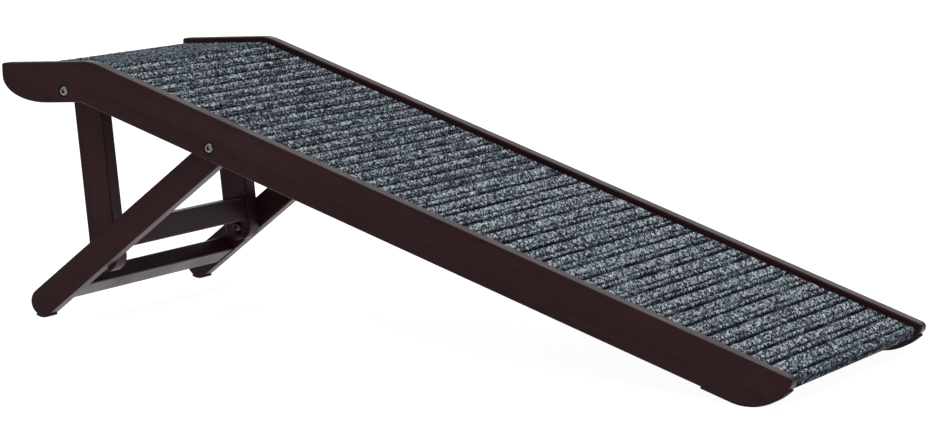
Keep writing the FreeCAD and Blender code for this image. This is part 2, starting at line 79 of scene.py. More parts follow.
SLOPE_POINT, SLOPE_UP = plane_of("ramp_surface")
PLATFORM_POINT, PLATFORM_UP = plane_of("platform_top")
DOWN_SLOPE = np.array([SLOPE_UP[1], -SLOPE_UP[0]])
BACK_ALONG_PLATFORM = np.array([-PLATFORM_UP[1], PLATFORM_UP[0]])
# The crease is the point that has both planes' own distances: two equations, two unknowns.
CREASE = np.linalg.solve(
    np.array([SLOPE_UP, PLATFORM_UP]),
    np.array([SLOPE_UP @ SLOPE_POINT, PLATFORM_UP @ PLATFORM_POINT]),
)
SLOPE_TURN = math.atan2(-DOWN_SLOPE[1], DOWN_SLOPE[0])
print("slope, degrees:", round(math.degrees(SLOPE_TURN), 2))
print("crease at x, z:", CREASE.round(4))

# %% [markdown]
# ## The camera
# A long lens from about four metres away, a little above the deck and turned towards the
# low end, shows the whole slope, the near board's outer face and the legs behind it. A long
# lens keeps parallel edges nearly parallel, which is how such products are usually shown.

# %% Camera
CAMERA_PAST_CREASE = 2.0950    # along the ramp
CAMERA_ASIDE = 3.4803          # to the left of the middle
CAMERA_HEIGHT = 0.6921
CAMERA_TILT = 81.6912          # 90 would look level
CAMERA_ROLL = -1.6134
CAMERA_HEADING = 26.6924
LENS = 139.262
SENSOR = 36.0
LENS_SHIFT = (-0.00276, 0.0036)    # across and up


def degrees_turn(turns):
    """A rotation from three angles in degrees."""
    return Euler([math.radians(turn) for turn in turns], "XYZ")


lens_data = bpy.data.cameras.new("portrait_lens")
lens_data.lens = LENS
lens_data.sensor_width = SENSOR
lens_data.shift_x = LENS_SHIFT[0]
lens_data.shift_y = LENS_SHIFT[1]
camera = bpy.data.objects.new("portrait_camera", lens_data)
camera.location = (float(CREASE[0]) + CAMERA_PAST_CREASE, -CAMERA_ASIDE, CAMERA_HEIGHT)
camera.rotation_euler = degrees_turn((CAMERA_TILT, CAMERA_ROLL, CAMERA_HEADING))
bpy.context.scene.collection.objects.link(camera)
bpy.context.scene.camera = camera
bpy.context.scene.view_settings.view_transform = "Standard"
print("camera looks down by", round(90 - CAMERA_TILT, 1), "degrees")

# %% [markdown]
# ## A helper for finishes
# A finish is a small graph: coordinates go into patterns, patterns into colours, roughness
# and bump. Written out in full, each graph is mostly bookkeeping, so one small class keeps
# the bookkeeping and lets a finish be read from top to bottom like a recipe.

# %% The finish helper
class Finish:
    """A material whose nodes are added one call at a time."""

    def __init__(self, name, **shader):
        self.material = bpy.data.materials.new(name)
        self.material.use_nodes = True
        self.tree = self.material.node_tree
        self.shader = self.tree.nodes["Principled BSDF"]
        for socket, value in shader.items():
            self.feed(self.shader.inputs[socket.replace("_", " ")], value)

    def feed(self, socket, value):
        """Joins a socket to another socket, or sets it to a constant."""
        if isinstance(value, bpy.types.NodeSocket):
            self.tree.links.new(value, socket)
        else:
            socket.default_value = value

    def node(self, kind, inputs=(), **settings):
        """Adds a node, with its settings and its input sockets."""
        made = self.tree.nodes.new("ShaderNode" + kind)
        for name, value in settings.items():
            setattr(made, name, value)
        for key, value in dict(inputs).items():
            self.feed(made.inputs[key], value)
        return made

    def place(self, turn=(0, 0, 0), stretch=(1, 1, 1), shift=(0, 0, 0)):
        """The object's own coordinates, moved, then turned, then squeezed by stretch."""
        source = self.node("TexCoord").outputs["Object"]
        inputs = {"Vector": source, "Location": shift, "Rotation": turn, "Scale": stretch}
        return self.node("Mapping", inputs, vector_type="TEXTURE").outputs["Vector"]

    def noise(self, vector, scale, detail=3.0, roughness=0.5, distortion=0.0):
        """Cloudy noise between 0 and 1, with scale clouds to a metre."""
        inputs = {"Vector": vector, "Scale": scale, "Detail": detail,
                  "Roughness": roughness, "Distortion": distortion}
        return self.node("TexNoise", inputs).outputs["Fac"]

    def spread(self, value, low, high, to_low=0.0, to_high=1.0):
        """Stretches the part of value between low and high, and clips the rest."""
        inputs = {"Value": value, "From Min": low, "From Max": high,
                  "To Min": to_low, "To Max": to_high}
        return self.node("MapRange", inputs, clamp=True).outputs["Result"]

    def colours(self, value, *stops):
        """A colour from a value, by stops of (position, colour)."""
        made = self.node("ValToRGB", {"Fac": value})
        band = made.color_ramp
        for extra in stops[2:]:
            band.elements.new(extra[0])
        for element, (position, colour) in zip(band.elements, sorted(stops)):
            element.position = position
            element.color = (*colour, 1.0)
        return made.outputs["Color"]

    def mix(self, share, first, second, blend="MIX"):
        """Mixes two colours; share is how much of the second one shows."""
        made = self.node("Mix", data_type="RGBA", blend_type=blend)
        self.feed(made.inputs[0], share)
        self.feed(made.inputs[6], first)
        self.feed(made.inputs[7], second)
        return made.outputs[2]

    def maths(self, operation, first, second=0.0):
        """One sum of two values."""
        made = self.node("Math", operation=operation)
        self.feed(made.inputs[0], first)
        self.feed(made.inputs[1], second)
        return made.outputs[0]

    def bump(self, height, depth, strength=1.0, over=None):
        """Raises the surface by height times depth metres, over another bump if given."""
        inputs = {"Height": height, "Distance": depth, "Strength": strength}
        if over is not None:
            inputs["Normal"] = over
        return self.node("Bump", inputs).outputs["Normal"]

    def done(self, colour, roughness, normal=None):
        """Joins the finished patterns to the shader."""
        self.feed(self.shader.inputs["Base Color"], colour)
        self.feed(self.shader.inputs["Roughness"], roughness)
        if normal is not None:
            self.feed(self.shader.inputs["Normal"], normal)
        return self.material


print("finish helper ready")

# %% [markdown]
# ## Stained wood
# The boards, legs and rails are solid wood under an almost black, reddish espresso stain and
# a semi-gloss lacquer. The grain still shows, but only just: long soft streaks, fine dark
# pores, and a lacquer film that is never quite even. Grain runs along each member, so the
# same recipe is made once for each direction, with the pattern turned to lie along it.

# %% Directions of the grain
CROSSWAYS = (0.0, 0.0, math.pi / 2)


def centre_of(node):
    """Middle of a node's box, in the side view (x, z)."""
    low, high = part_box(node)
    return np.array([(low.x + high.x) / 2, (low.z + high.z) / 2])


def turn_between(start, end):
    """Turn about the Y axis that lays the pattern's X axis from start towards end."""
    run = np.array(end) - np.array(start)
    return (0.0, math.atan2(-run[1], run[0]), 0.0)


JOINTS = {joint["name"]: np.array(joint["pos_m"])[[0, 2]] for joint in frame["joints"]}
HOOK = centre_of("hook_bolts")
ALONG_SLOPE = (0.0, SLOPE_TURN, 0.0)
ALONG_BRACE = turn_between(JOINTS["brace_fold"], HOOK)
ALONG_PROP = turn_between(JOINTS["prop_fold"], HOOK)
print("slanting legs turned by", round(math.degrees(ALONG_BRACE[1]), 1), "degrees")
print("upright legs turned by", round(math.degrees(ALONG_PROP[1]), 1), "degrees")

# %% The stained wood recipe
STAIN_DEEP = (0.0190, 0.0056, 0.0070)
STAIN_BODY = (0.0310, 0.0100, 0.0122)
STAIN_WARM = (0.0460, 0.0170, 0.0195)
PORE_DARK = (0.0060, 0.0025, 0.0030)
GRAIN_STRETCH = (14.0, 1.0, 1.0)
PORE_STRETCH = (30.0, 1.0, 1.0)
FIGURE_SCALE = 38.0            # clouds to a metre, before the stretch
STREAK_SCALE = 420.0
PORE_SCALE = 1500.0
FILM_SCALE = 22.0
FIGURE_SHARE = 0.6             # of the brown's tone; streaks have the rest
STREAK_SHARE = 0.4
PORE_SHADE = 0.7               # how far a pore goes towards its dark
LACQUER_ROUGH = (0.27, 0.40)
LACQUER_LEVEL = 0.1            # share of the usual mirror strength, seen square on
PORE_DEPTH = 0.00006
RIPPLE_DEPTH = 0.00012


def stained_wood(name, turn):
    """Espresso stain: clouds and streaks set the brown, pores darken and dent it."""
    wood = Finish(name, Specular_IOR_Level=LACQUER_LEVEL)
    along = wood.place(turn, GRAIN_STRETCH)
    figure = wood.noise(along, FIGURE_SCALE, 3.0, 0.55, 0.6)
    streak = wood.noise(along, STREAK_SCALE, 4.0, 0.65)
    tone = wood.maths("ADD", wood.maths("MULTIPLY", figure, FIGURE_SHARE),
                      wood.maths("MULTIPLY", streak, STREAK_SHARE))
    brown = wood.colours(tone, (0.30, STAIN_DEEP), (0.50, STAIN_BODY), (0.72, STAIN_WARM))
    pores = wood.noise(wood.place(turn, PORE_STRETCH), PORE_SCALE, 2.0, 0.5)
    pore = wood.spread(pores, 0.60, 0.70)
    brown = wood.mix(wood.maths("MULTIPLY", pore, PORE_SHADE), brown, (*PORE_DARK, 1.0))
    film = wood.noise(wood.place(), FILM_SCALE, 2.0)
    gloss = wood.spread(wood.maths("ADD", film, wood.maths("MULTIPLY", streak, 0.5)),
                        0.5, 1.0, *LACQUER_ROUGH)
    dents = wood.bump(wood.maths("SUBTRACT", streak, pore), PORE_DEPTH, 0.5)
    ripple = wood.bump(film, RIPPLE_DEPTH, 0.35, dents)
    return wood.done(brown, gloss, ripple)


WOOD_ALONG_SLOPE = stained_wood("stained_wood_along_slope", ALONG_SLOPE)
WOOD_ALONG_BRACE = stained_wood("stained_wood_along_slanting_legs", ALONG_BRACE)
WOOD_ALONG_PROP = stained_wood("stained_wood_along_upright_legs", ALONG_PROP)
WOOD_CROSSWAYS = stained_wood("stained_wood_crossways", CROSSWAYS)
print("stained wood in four directions")

# %% [markdown]
# ## Thin plywood
# The deck under the carpet is thin three-ply, wiped with the same stain. Its broad faces
# have a wide rotary-cut figure. On its cut edges the plies show as fine light and dark
# stripes, so the recipe looks at which way the face points and paints stripes only there.

# %% The plywood recipe
PLY_DARK = (0.026, 0.013, 0.011)
PLY_BROWN = (0.052, 0.029, 0.024)
PLY_EDGE_LIGHT = (0.060, 0.034, 0.024)
PLY_EDGE_DARK = (0.020, 0.011, 0.009)
PLY_THICK = 0.0013
SWIRL_STRETCH = (5.0, 1.0, 1.0)
FIBRE_STRETCH = (22.0, 1.0, 1.0)
SWIRL_SCALE = 16.0
PLY_FIBRE_SCALE = 900.0
RINGS = 7.0                    # rings over the whole span of the swirl
RING_SHARE = 0.45              # of the tone; fibres have the rest
PLY_FIBRE_SHARE = 0.55
EDGE_FACING = (0.45, 0.55)     # faces turned from up by more than this show their plies
PLY_ROUGH = (0.48, 0.66)
PLY_DEPTH = 0.00015


def plywood(name, turn, up):
    """Rotary-cut figure on the faces; stripes one ply thick on edges square to up."""
    board = Finish(name, Specular_IOR_Level=0.25)
    along = board.place(turn, SWIRL_STRETCH)
    swirl = board.noise(along, SWIRL_SCALE, 2.0, 0.5, 1.4)
    rings = board.maths("PINGPONG", board.maths("MULTIPLY", swirl, RINGS), 1.0)
    fibre = board.noise(board.place(turn, FIBRE_STRETCH), PLY_FIBRE_SCALE, 3.0, 0.6)
    tone = board.maths("ADD", board.maths("MULTIPLY", rings, RING_SHARE),
                       board.maths("MULTIPLY", fibre, PLY_FIBRE_SHARE))
    face = board.colours(tone, (0.25, PLY_DARK), (0.80, PLY_BROWN))
    facing = board.node("VectorMath", operation="DOT_PRODUCT")
    board.feed(facing.inputs[0], board.node("NewGeometry").outputs["Normal"])
    board.feed(facing.inputs[1], up)
    level = board.maths("ABSOLUTE", facing.outputs["Value"])
    edge = board.spread(level, *EDGE_FACING, 1.0, 0.0)
    height = board.node("VectorMath", operation="DOT_PRODUCT")
    board.feed(height.inputs[0], board.place())
    board.feed(height.inputs[1], up)
    ply = board.maths("PINGPONG", board.maths("DIVIDE", height.outputs["Value"], PLY_THICK), 1.0)
    stripes = board.colours(board.maths("ADD", ply, board.maths("MULTIPLY", fibre, 0.3)),
                            (0.45, PLY_EDGE_DARK), (0.85, PLY_EDGE_LIGHT))
    colour = board.mix(edge, face, stripes)
    rough = board.spread(fibre, 0.3, 0.7, *PLY_ROUGH)
    return board.done(colour, rough, board.bump(tone, PLY_DEPTH, 0.6))


def upright(direction):
    """A side-view direction as a vector in space."""
    return (float(direction[0]), 0.0, float(direction[1]))


PLY_SLOPE = plywood("stained_plywood_slope", ALONG_SLOPE, upright(SLOPE_UP))
PLY_PLATFORM = plywood("stained_plywood_platform", CROSSWAYS, upright(PLATFORM_UP))
print("plywood for the slope and the platform")

# %% [markdown]
# ## Small parts: beech, rubber, steel and nylon
# Each small part has its own trade finish. Dowels are plain beech with short dark rays.
# Pads are moulded rubber, matt with a fine pebble. Pivot bolts are blackened steel, so fine
# scratches and small scuffs catch the light, and hook bolts are darker still. Screws and
# inserts are zinc plated and slightly cloudy. The washers and spacers are natural nylon,
# smooth and a little waxy.

# %% Recipes for the small parts
BEECH_PALE = (0.62, 0.44, 0.26)
BEECH_RAY = (0.36, 0.22, 0.11)
RUBBER_DEEP = (0.008, 0.008, 0.009)
RUBBER_DUSTY = (0.026, 0.026, 0.028)
STEEL_DARK = (0.085, 0.083, 0.086)
STEEL_WORN = (0.290, 0.285, 0.290)
STEEL_INK = (0.018, 0.017, 0.018)
STEEL_GREY = (0.085, 0.083, 0.085)
ZINC_DULL = (0.42, 0.42, 0.41)
ZINC_BRIGHT = (0.66, 0.66, 0.64)
NYLON_PALE = (0.70, 0.68, 0.62)
NYLON_SHADE = (0.56, 0.54, 0.48)


def beech():
    """Straight fine grain with short, sharp rays."""
    wood = Finish("plain_beech", Specular_IOR_Level=0.35)
    along = wood.place(CROSSWAYS, (20.0, 1.0, 1.0))
    grain = wood.noise(along, 700.0, 3.0, 0.6)
    rays = wood.spread(wood.noise(wood.place(CROSSWAYS, (6.0, 1.0, 1.0)), 2400.0, 1.0),
                       0.62, 0.72)
    colour = wood.colours(grain, (0.2, BEECH_RAY), (0.6, BEECH_PALE))
    colour = wood.mix(wood.maths("MULTIPLY", rays, 0.5), colour, (*BEECH_RAY, 1.0))
    return wood.done(colour, wood.spread(grain, 0.2, 0.8, 0.45, 0.6),
                     wood.bump(grain, 0.0001, 0.5))


def moulded_rubber():
    """Cloudy black with a pebbled skin."""
    rubber = Finish("moulded_rubber", Specular_IOR_Level=0.3)
    place = rubber.place()
    dust = rubber.noise(place, 60.0, 4.0, 0.6)
    pebble = rubber.node("TexVoronoi", {"Vector": place, "Scale": 1400.0}).outputs["Distance"]
    colour = rubber.colours(dust, (0.35, RUBBER_DEEP), (0.75, RUBBER_DUSTY))
    return rubber.done(colour, rubber.spread(dust, 0.3, 0.7, 0.70, 0.88),
                       rubber.bump(pebble, 0.00012, 0.5))


def plated_steel(name, dull, bright, smooth, rough):
    """Fine scratches over soft clouds; worn places are brighter and smoother."""
    steel = Finish(name, Metallic=1.0)
    place = steel.place()
    cloud = steel.noise(place, 260.0, 3.0, 0.6)
    scratch = steel.noise(steel.place((0.4, 0.3, 0.7), (25.0, 1.0, 1.0)), 3000.0, 2.0)
    wear = steel.maths("ADD", steel.maths("MULTIPLY", cloud, 0.7),
                       steel.maths("MULTIPLY", scratch, 0.3))
    colour = steel.colours(wear, (0.32, dull), (0.66, bright))
    return steel.done(colour, steel.spread(wear, 0.3, 0.7, rough, smooth),
                      steel.bump(wear, 0.00003, 0.6))


def natural_nylon():
    """Milky, with a slow drift of shade and a waxy sheen."""
    nylon = Finish("natural_nylon", Subsurface_Weight=0.2, Subsurface_Scale=0.002)
    place = nylon.place()
    drift = nylon.noise(place, 120.0, 2.0)
    colour = nylon.colours(drift, (0.3, NYLON_SHADE), (0.7, NYLON_PALE))
    return nylon.done(colour, nylon.spread(drift, 0.3, 0.7, 0.35, 0.5),
                      nylon.bump(drift, 0.0001, 0.3))


BEECH = beech()
RUBBER = moulded_rubber()
BLACK_STEEL = plated_steel("blackened_steel", STEEL_DARK, STEEL_WORN, 0.28, 0.42)
HOOK_STEEL = plated_steel("darkened_steel", STEEL_INK, STEEL_GREY, 0.38, 0.52)
ZINC_STEEL = plated_steel("zinc_plated_steel", ZINC_DULL, ZINC_BRIGHT, 0.26, 0.44)
NYLON = natural_nylon()
print("small parts' finishes ready")

# %% [markdown]
# ## Giving every piece its finish
# The record names a material slot for every piece. Most slots have one finish. The two
# woods need the direction of the grain as well, so those pieces are looked up by name.

# %% Finishes on the frame
SLOT_FINISH = {
    "dowel_wood": BEECH,
    "rubber": RUBBER,
    "black_steel": BLACK_STEEL,
    "zinc_steel": ZINC_STEEL,
    "nylon": NYLON,
    "painted_wood": WOOD_ALONG_SLOPE,
    "deck_board": PLY_SLOPE,
}
GRAIN_FINISH = {
    "brace_leg": WOOD_ALONG_BRACE,
    "prop_leg": WOOD_ALONG_PROP,
    "lower_rail": WOOD_CROSSWAYS,
    "upper_rail": WOOD_CROSSWAYS,
    "platform_stretcher": WOOD_CROSSWAYS,
    "mid_stretcher": WOOD_CROSSWAYS,
    "low_stretcher": WOOD_CROSSWAYS,
    "platform_panel": PLY_PLATFORM,
}
NODE_SLOT = {part["node"]: part["material_slot"] for part in RECORD["subparts"]}


def finish_for(node):
    """The finish of the member that the node's name starts with, or else of its slot."""
    if node == "hook_bolts":
        return HOOK_STEEL
    wooden = NODE_SLOT[node] in ("painted_wood", "deck_board")
    for start, finish in GRAIN_FINISH.items():
        if wooden and node.startswith(start):
            return finish
    return SLOT_FINISH[NODE_SLOT[node]]


for node, piece in NODES.items():
    if NODE_SLOT[node] == "ribbed_carpet":
        continue
    piece.data.materials.clear()
    piece.data.materials.append(finish_for(node))
    piece.material_slots[0].link = "DATA"
print("finished:", len(NODES) - 1, "pieces of the frame")

# %% [markdown]
# ## The carpet's path
# The carpet is one strip of ribbed needle felt. Seen from the side it starts at the
# platform's end, runs over the rounded crease, down the slope, and turns over the deck's
# low edge. A line with rounded corners is easiest to build from its heading: the heading
# stays put on a straight run and turns evenly on a round, and adding up many small steps
# in that heading draws the line.

# %% Corners of the path
FELT_THICK = 0.0036
LIP_THICK = 0.00295
CREASE_ROUND = 0.040
LIP_ROUND = 0.0029
END_ROUND = 0.0012
END_INSET = 0.0008             # the under face stops this far short of the platform's end

carpet_points = np.empty(len(NODES["carpet"].data.vertices) * 3)
NODES["carpet"].data.vertices.foreach_get("co", carpet_points)
carpet_points = carpet_points.reshape(-1, 3)
from_crease = carpet_points[:, [0, 2]] - CREASE
SLOPE_REACH = (from_crease @ DOWN_SLOPE).max()
PLATFORM_REACH = (from_crease @ BACK_ALONG_PLATFORM).max()
at_lip = from_crease @ DOWN_SLOPE > SLOPE_REACH - LIP_ROUND
LIP_DROP = -(from_crease[at_lip] @ SLOPE_UP).min()
HALF_WIDTH = carpet_points[:, 1].max()
print("carpet down the slope:", round(SLOPE_REACH, 4), "m")
print("carpet on the platform:", round(PLATFORM_REACH, 4), "m")
print("carpet's width:", round(2 * HALF_WIDTH, 4), "m, lip:", round(LIP_DROP, 4), "m")


def on_slope(reach, depth):
    """Point in the side view: down the slope from the crease, and depth under its plane."""
    return CREASE + reach * DOWN_SLOPE - depth * SLOPE_UP


def on_platform(reach, depth):
    """Point in the side view: back along the platform, and depth under its plane."""
    return CREASE + reach * BACK_ALONG_PLATFORM - depth * PLATFORM_UP


# %% A line with rounded corners
LINE_STEPS = 20000


def rounded_line(corners, rounds, stations):
    """Points and headings at shares (0 to 1) of the length of a line with round corners.

    A round of radius r and turn a takes r tan(a / 2) off both runs beside it and is r a
    long. Heading is constant on runs and linear on rounds; the point is the running sum
    of step length times (cos heading, sin heading) at each step's middle.
    """
    legs = np.diff(corners, axis=0)
    headings = np.unwrap(np.arctan2(legs[:, 1], legs[:, 0]))
    turns = np.diff(headings)
    cuts = np.concatenate([[0.0], rounds * np.tan(np.abs(turns) / 2), [0.0]])
    runs = np.linalg.norm(legs, axis=1) - cuts[:-1] - cuts[1:]
    arcs = rounds * np.abs(turns)
    pieces = np.empty(len(runs) + len(arcs))
    pieces[0::2] = runs
    pieces[1::2] = arcs
    knots = np.concatenate([[0.0], np.cumsum(pieces)])
    length = knots[-1]
    fine = np.unique(np.concatenate([np.linspace(0.0, length, LINE_STEPS + 1), knots]))
    middle = (fine[1:] + fine[:-1]) / 2
    heading = np.interp(middle, knots, np.repeat(headings, 2))
    steps = np.diff(fine)[:, None] * np.stack([np.cos(heading), np.sin(heading)], axis=1)
    line = corners[0] + np.concatenate([[[0.0, 0.0]], np.cumsum(steps, axis=0)])
    at = stations * length
    points = np.stack([np.interp(at, fine, line[:, 0]), np.interp(at, fine, line[:, 1])], axis=1)
    return points, np.interp(at, knots, np.repeat(headings, 2)), length, knots


print("rounded line helper ready")

# %% The carpet's two faces in the side view
ROWS = 960
TOP_CORNERS = np.array([
    on_platform(PLATFORM_REACH, FELT_THICK),
    on_platform(PLATFORM_REACH, 0.0),
    CREASE,
    on_slope(SLOPE_REACH, 0.0),
    on_slope(SLOPE_REACH, LIP_DROP),
])
TOP_ROUNDS = np.array([END_ROUND, CREASE_ROUND, LIP_ROUND])
UNDER_CREASE = CREASE - FELT_THICK * (SLOPE_UP + PLATFORM_UP) / (1 + SLOPE_UP @ PLATFORM_UP)
UNDER_CORNERS = np.array([
    on_platform(PLATFORM_REACH - END_INSET, FELT_THICK),
    UNDER_CREASE,
    on_slope(SLOPE_REACH - LIP_THICK, FELT_THICK),
    on_slope(SLOPE_REACH - LIP_THICK, LIP_DROP),
])
UNDER_ROUNDS = np.array([0.012, 0.0004])    # at the crease and inside the lip
_, _, TOP_LENGTH, TOP_KNOTS = rounded_line(TOP_CORNERS, TOP_ROUNDS, np.zeros(1))
# The three rounds lie between these pairs of knots.
END_SPAN = TOP_KNOTS[1:3]
CREASE_SPAN = TOP_KNOTS[3:5]
LIP_SPAN = TOP_KNOTS[5:7]
# Rows are even along the runs, with extra ones where the felt turns over its two edges.
EXTRA = np.concatenate([np.linspace(*END_SPAN, 6), np.linspace(*LIP_SPAN, 10)])
SHARES = np.unique(np.concatenate([np.linspace(0.0, TOP_LENGTH, ROWS), EXTRA])) / TOP_LENGTH
TOP_LINE, TOP_HEADING, _, _ = rounded_line(TOP_CORNERS, TOP_ROUNDS, SHARES)
UNDER_LINE, _, _, _ = rounded_line(UNDER_CORNERS, UNDER_ROUNDS, SHARES)
FROM_CREASE = SHARES * TOP_LENGTH - CREASE_SPAN.mean()
print("carpet's length over its face:", round(TOP_LENGTH, 4), "m in", len(SHARES), "rows")

# %% [markdown]
# ## The ribs
# Needle felt gets its ribs from rows of forked needles that punch the fibres down between
# them. Each repeat has one wide rib and one narrow rib: a deep groove, then a shallower one
# about a third of a repeat before the next. The repeat is finer on the upper part of the
# slope than on the lower part. A groove is drawn as a bell-shaped dip round its line, and
# the lines wander a little, as felt does when it is stretched over a board. The ribs stop a
# little behind the crease, and the rest of the platform's felt is plain.

# %% Lines of the grooves
FINE_REPEAT = 0.01820
WIDE_REPEAT = 0.02442
FIRST_GROOVE = 0.0068          # below the crease
GROOVES_BEHIND = 8             # lines before it; those on plain felt have no depth
FINE_GROOVES = 21
WIDE_START = 0.3856
WIDE_SECOND = 0.4100
NARROW_SHARE = 0.35            # narrow rib's share of its repeat

grooves_above = FIRST_GROOVE - FINE_REPEAT * np.arange(GROOVES_BEHIND, 0, -1)
grooves_fine = FIRST_GROOVE + FINE_REPEAT * np.arange(FINE_GROOVES)
grooves_wide = np.arange(WIDE_SECOND, SLOPE_REACH + WIDE_REPEAT, WIDE_REPEAT)
DEEP_LINES = np.concatenate([grooves_above, grooves_fine, [WIDE_START], grooves_wide])
SHALLOW_LINES = DEEP_LINES[1:] - NARROW_SHARE * np.diff(DEEP_LINES)
print("deep grooves:", len(DEEP_LINES), "shallow grooves:", len(SHALLOW_LINES))


# %% Soft noise as whole arrays
def hat_weights(places, count):
    """Share of each of count evenly spaced knots at each place (0 to 1), smoothly faded.

    A knot's share is 1 - t at distance t from it and 0 past the next knot, with t eased
    by t t (3 - 2 t) so that the sum has no kinks.
    """
    distance = np.abs(places[:, None] * (count - 1) - np.arange(count)[None, :]).clip(0, 1)
    return 1 - distance * distance * (3 - 2 * distance)


def soft_noise(chance, rows, columns, row_knots, column_knots):
    """Random heights from -1 to 1 on a coarse grid, blended up to rows by columns."""
    coarse = chance.uniform(-1.0, 1.0, (row_knots, column_knots))
    return hat_weights(rows, row_knots) @ coarse @ hat_weights(columns, column_knots).T


print("noise helper ready")

# %% Relief of the felt
COLUMNS = 98
DEEP_DIP = 0.00190
SHALLOW_DIP = 0.00130
DEEP_HALF = 0.00290
SHALLOW_HALF = 0.00210
RIBS_FROM = -0.030             # felt is plain further back on the platform than this
RIBS_FADE = 0.010
WANDER = 0.00050
FINE_WANDER = 0.6              # share of it in short waves
DEEP_STRENGTH = 0.8
DEEP_DRIFT = 0.35
SHALLOW_STRENGTH = 0.75
SHALLOW_DRIFT = 0.45
FUZZ = 0.00016
TUFTS = 0.00020
HEADROOM = 0.00015             # the whole face sits this much low, for fuzz and fibres
EDGE_FADE = 0.0015
# Painted shade: grooves are darkened in colour for the shade that falls in them.
DEEP_PAINTED_SHADE = 1.3                # painted shade: how dark a groove is painted against how deep it is
SHALLOW_PAINTED_SHADE = 0.9
FINE_PAINTED_SHADE = 0.86               # painted groove shade is lighter where the repeat is fine

# Knots of each noise, along the cloth and across it.
WANDER_KNOTS = (110, 6)
FINE_WANDER_KNOTS = (150, 26)
DEEP_KNOTS = (60, 14)
SHALLOW_KNOTS = (70, 18)
TUFT_KNOTS = (420, 60)
SEED = 20

chance = np.random.default_rng(SEED)
ACROSS = np.linspace(-HALF_WIDTH, HALF_WIDTH, COLUMNS)
across_share = np.linspace(0.0, 1.0, COLUMNS)
wander = WANDER * (soft_noise(chance, SHARES, across_share, *WANDER_KNOTS)
                   + FINE_WANDER * soft_noise(chance, SHARES, across_share, *FINE_WANDER_KNOTS))
run_at = FROM_CREASE[:, None] + wander


def nearest(lines, at):
    """Distance from each place to the nearest line, by sorting places between lines."""
    upper = np.searchsorted(lines, at).clip(1, len(lines) - 1)
    return np.minimum(np.abs(at - lines[upper - 1]), np.abs(at - lines[upper]))


# A dip is exp(-(d / w)^2) at distance d from its line; its strength drifts over the cloth.
strength = DEEP_STRENGTH + DEEP_DRIFT * soft_noise(chance, SHARES, across_share, *DEEP_KNOTS)
deep = np.exp(-(nearest(DEEP_LINES, run_at) / DEEP_HALF) ** 2) * strength
strength = SHALLOW_STRENGTH + SHALLOW_DRIFT * soft_noise(
    chance, SHARES, across_share, *SHALLOW_KNOTS)
shallow = np.exp(-(nearest(SHALLOW_LINES, run_at) / SHALLOW_HALF) ** 2) * strength
ribbed = ((FROM_CREASE - RIBS_FROM) / RIBS_FADE).clip(0, 1)[:, None]
deep *= ribbed
shallow *= ribbed
fuzz = chance.normal(0.0, 1.0, run_at.shape).clip(-2, 2)
tufts = soft_noise(chance, SHARES, across_share, *TUFT_KNOTS)
# Near the cut edges the relief fades out, so the rim stays a clean line.
to_side = (HALF_WIDTH - np.abs(ACROSS))[None, :]
to_end = np.minimum(SHARES, 1 - SHARES)[:, None] * TOP_LENGTH
fade = (to_side / EDGE_FADE).clip(0, 1) * (to_end / EDGE_FADE).clip(0, 1)
RELIEF = -(DEEP_DIP * deep + SHALLOW_DIP * shallow)
RELIEF = (RELIEF + FUZZ * fuzz + TUFTS * tufts - HEADROOM) * fade
# Painted shade in the grooves, kept for the felt's colour and for placing the fibres.
GROOVE_PAINTED_SHADE = (DEEP_PAINTED_SHADE * deep + SHALLOW_PAINTED_SHADE * shallow).clip(0, 1)
GROOVE_PAINTED_SHADE *= np.where(FROM_CREASE < WIDE_START, FINE_PAINTED_SHADE, 1.0)[:, None]
print("relief from", RELIEF.min().round(5), "to", RELIEF.max().round(5), "m")


# %% From arrays to a closed sheet
def mesh_piece(name, points, faces, finish):
    """A mesh object at the origin from arrays of points and faces."""
    mesh = bpy.data.meshes.new(name)
    mesh.from_pydata(points, [], faces)
    mesh.materials.append(finish)
    piece = bpy.data.objects.new(name, mesh)
    bpy.context.scene.collection.objects.link(piece)
    return piece


def point_values(piece, name, values):
    """Stores one number for each vertex, for the finish to read."""
    attribute = piece.data.attributes.new(name, "FLOAT", "POINT")
    attribute.data.foreach_set("value", np.asarray(values, np.float32).ravel())


def enclosed(piece):
    """Volume inside the faces: positive when they all point outwards."""
    mesh = piece.data
    mesh.calc_loop_triangles()
    corners = np.empty(len(mesh.loop_triangles) * 3, np.int64)
    mesh.loop_triangles.foreach_get("vertices", corners)
    places = np.empty(len(mesh.vertices) * 3)
    mesh.vertices.foreach_get("co", places)
    a, b, c = places.reshape(-1, 3)[corners].reshape(-1, 3, 3).transpose(1, 0, 2)
    return float(np.einsum("ij,ij->i", a, np.cross(b, c)).sum() / 6)


def felt_points():
    """Face points: line + relief along the face's normal; under points: the two rims."""
    normal = np.stack([-np.sin(TOP_HEADING), np.cos(TOP_HEADING)], axis=1)
    side = TOP_LINE[:, None, :] + RELIEF[:, :, None] * normal[:, None, :]
    across = np.broadcast_to(ACROSS[None, :], side.shape[:2])
    face = np.stack([side[..., 0], across, side[..., 1]], axis=-1)
    rims = np.array([-HALF_WIDTH, HALF_WIDTH])
    under = np.stack(np.broadcast_arrays(
        UNDER_LINE[:, None, 0], rims[None, :], UNDER_LINE[:, None, 1]), axis=-1)
    return face, under


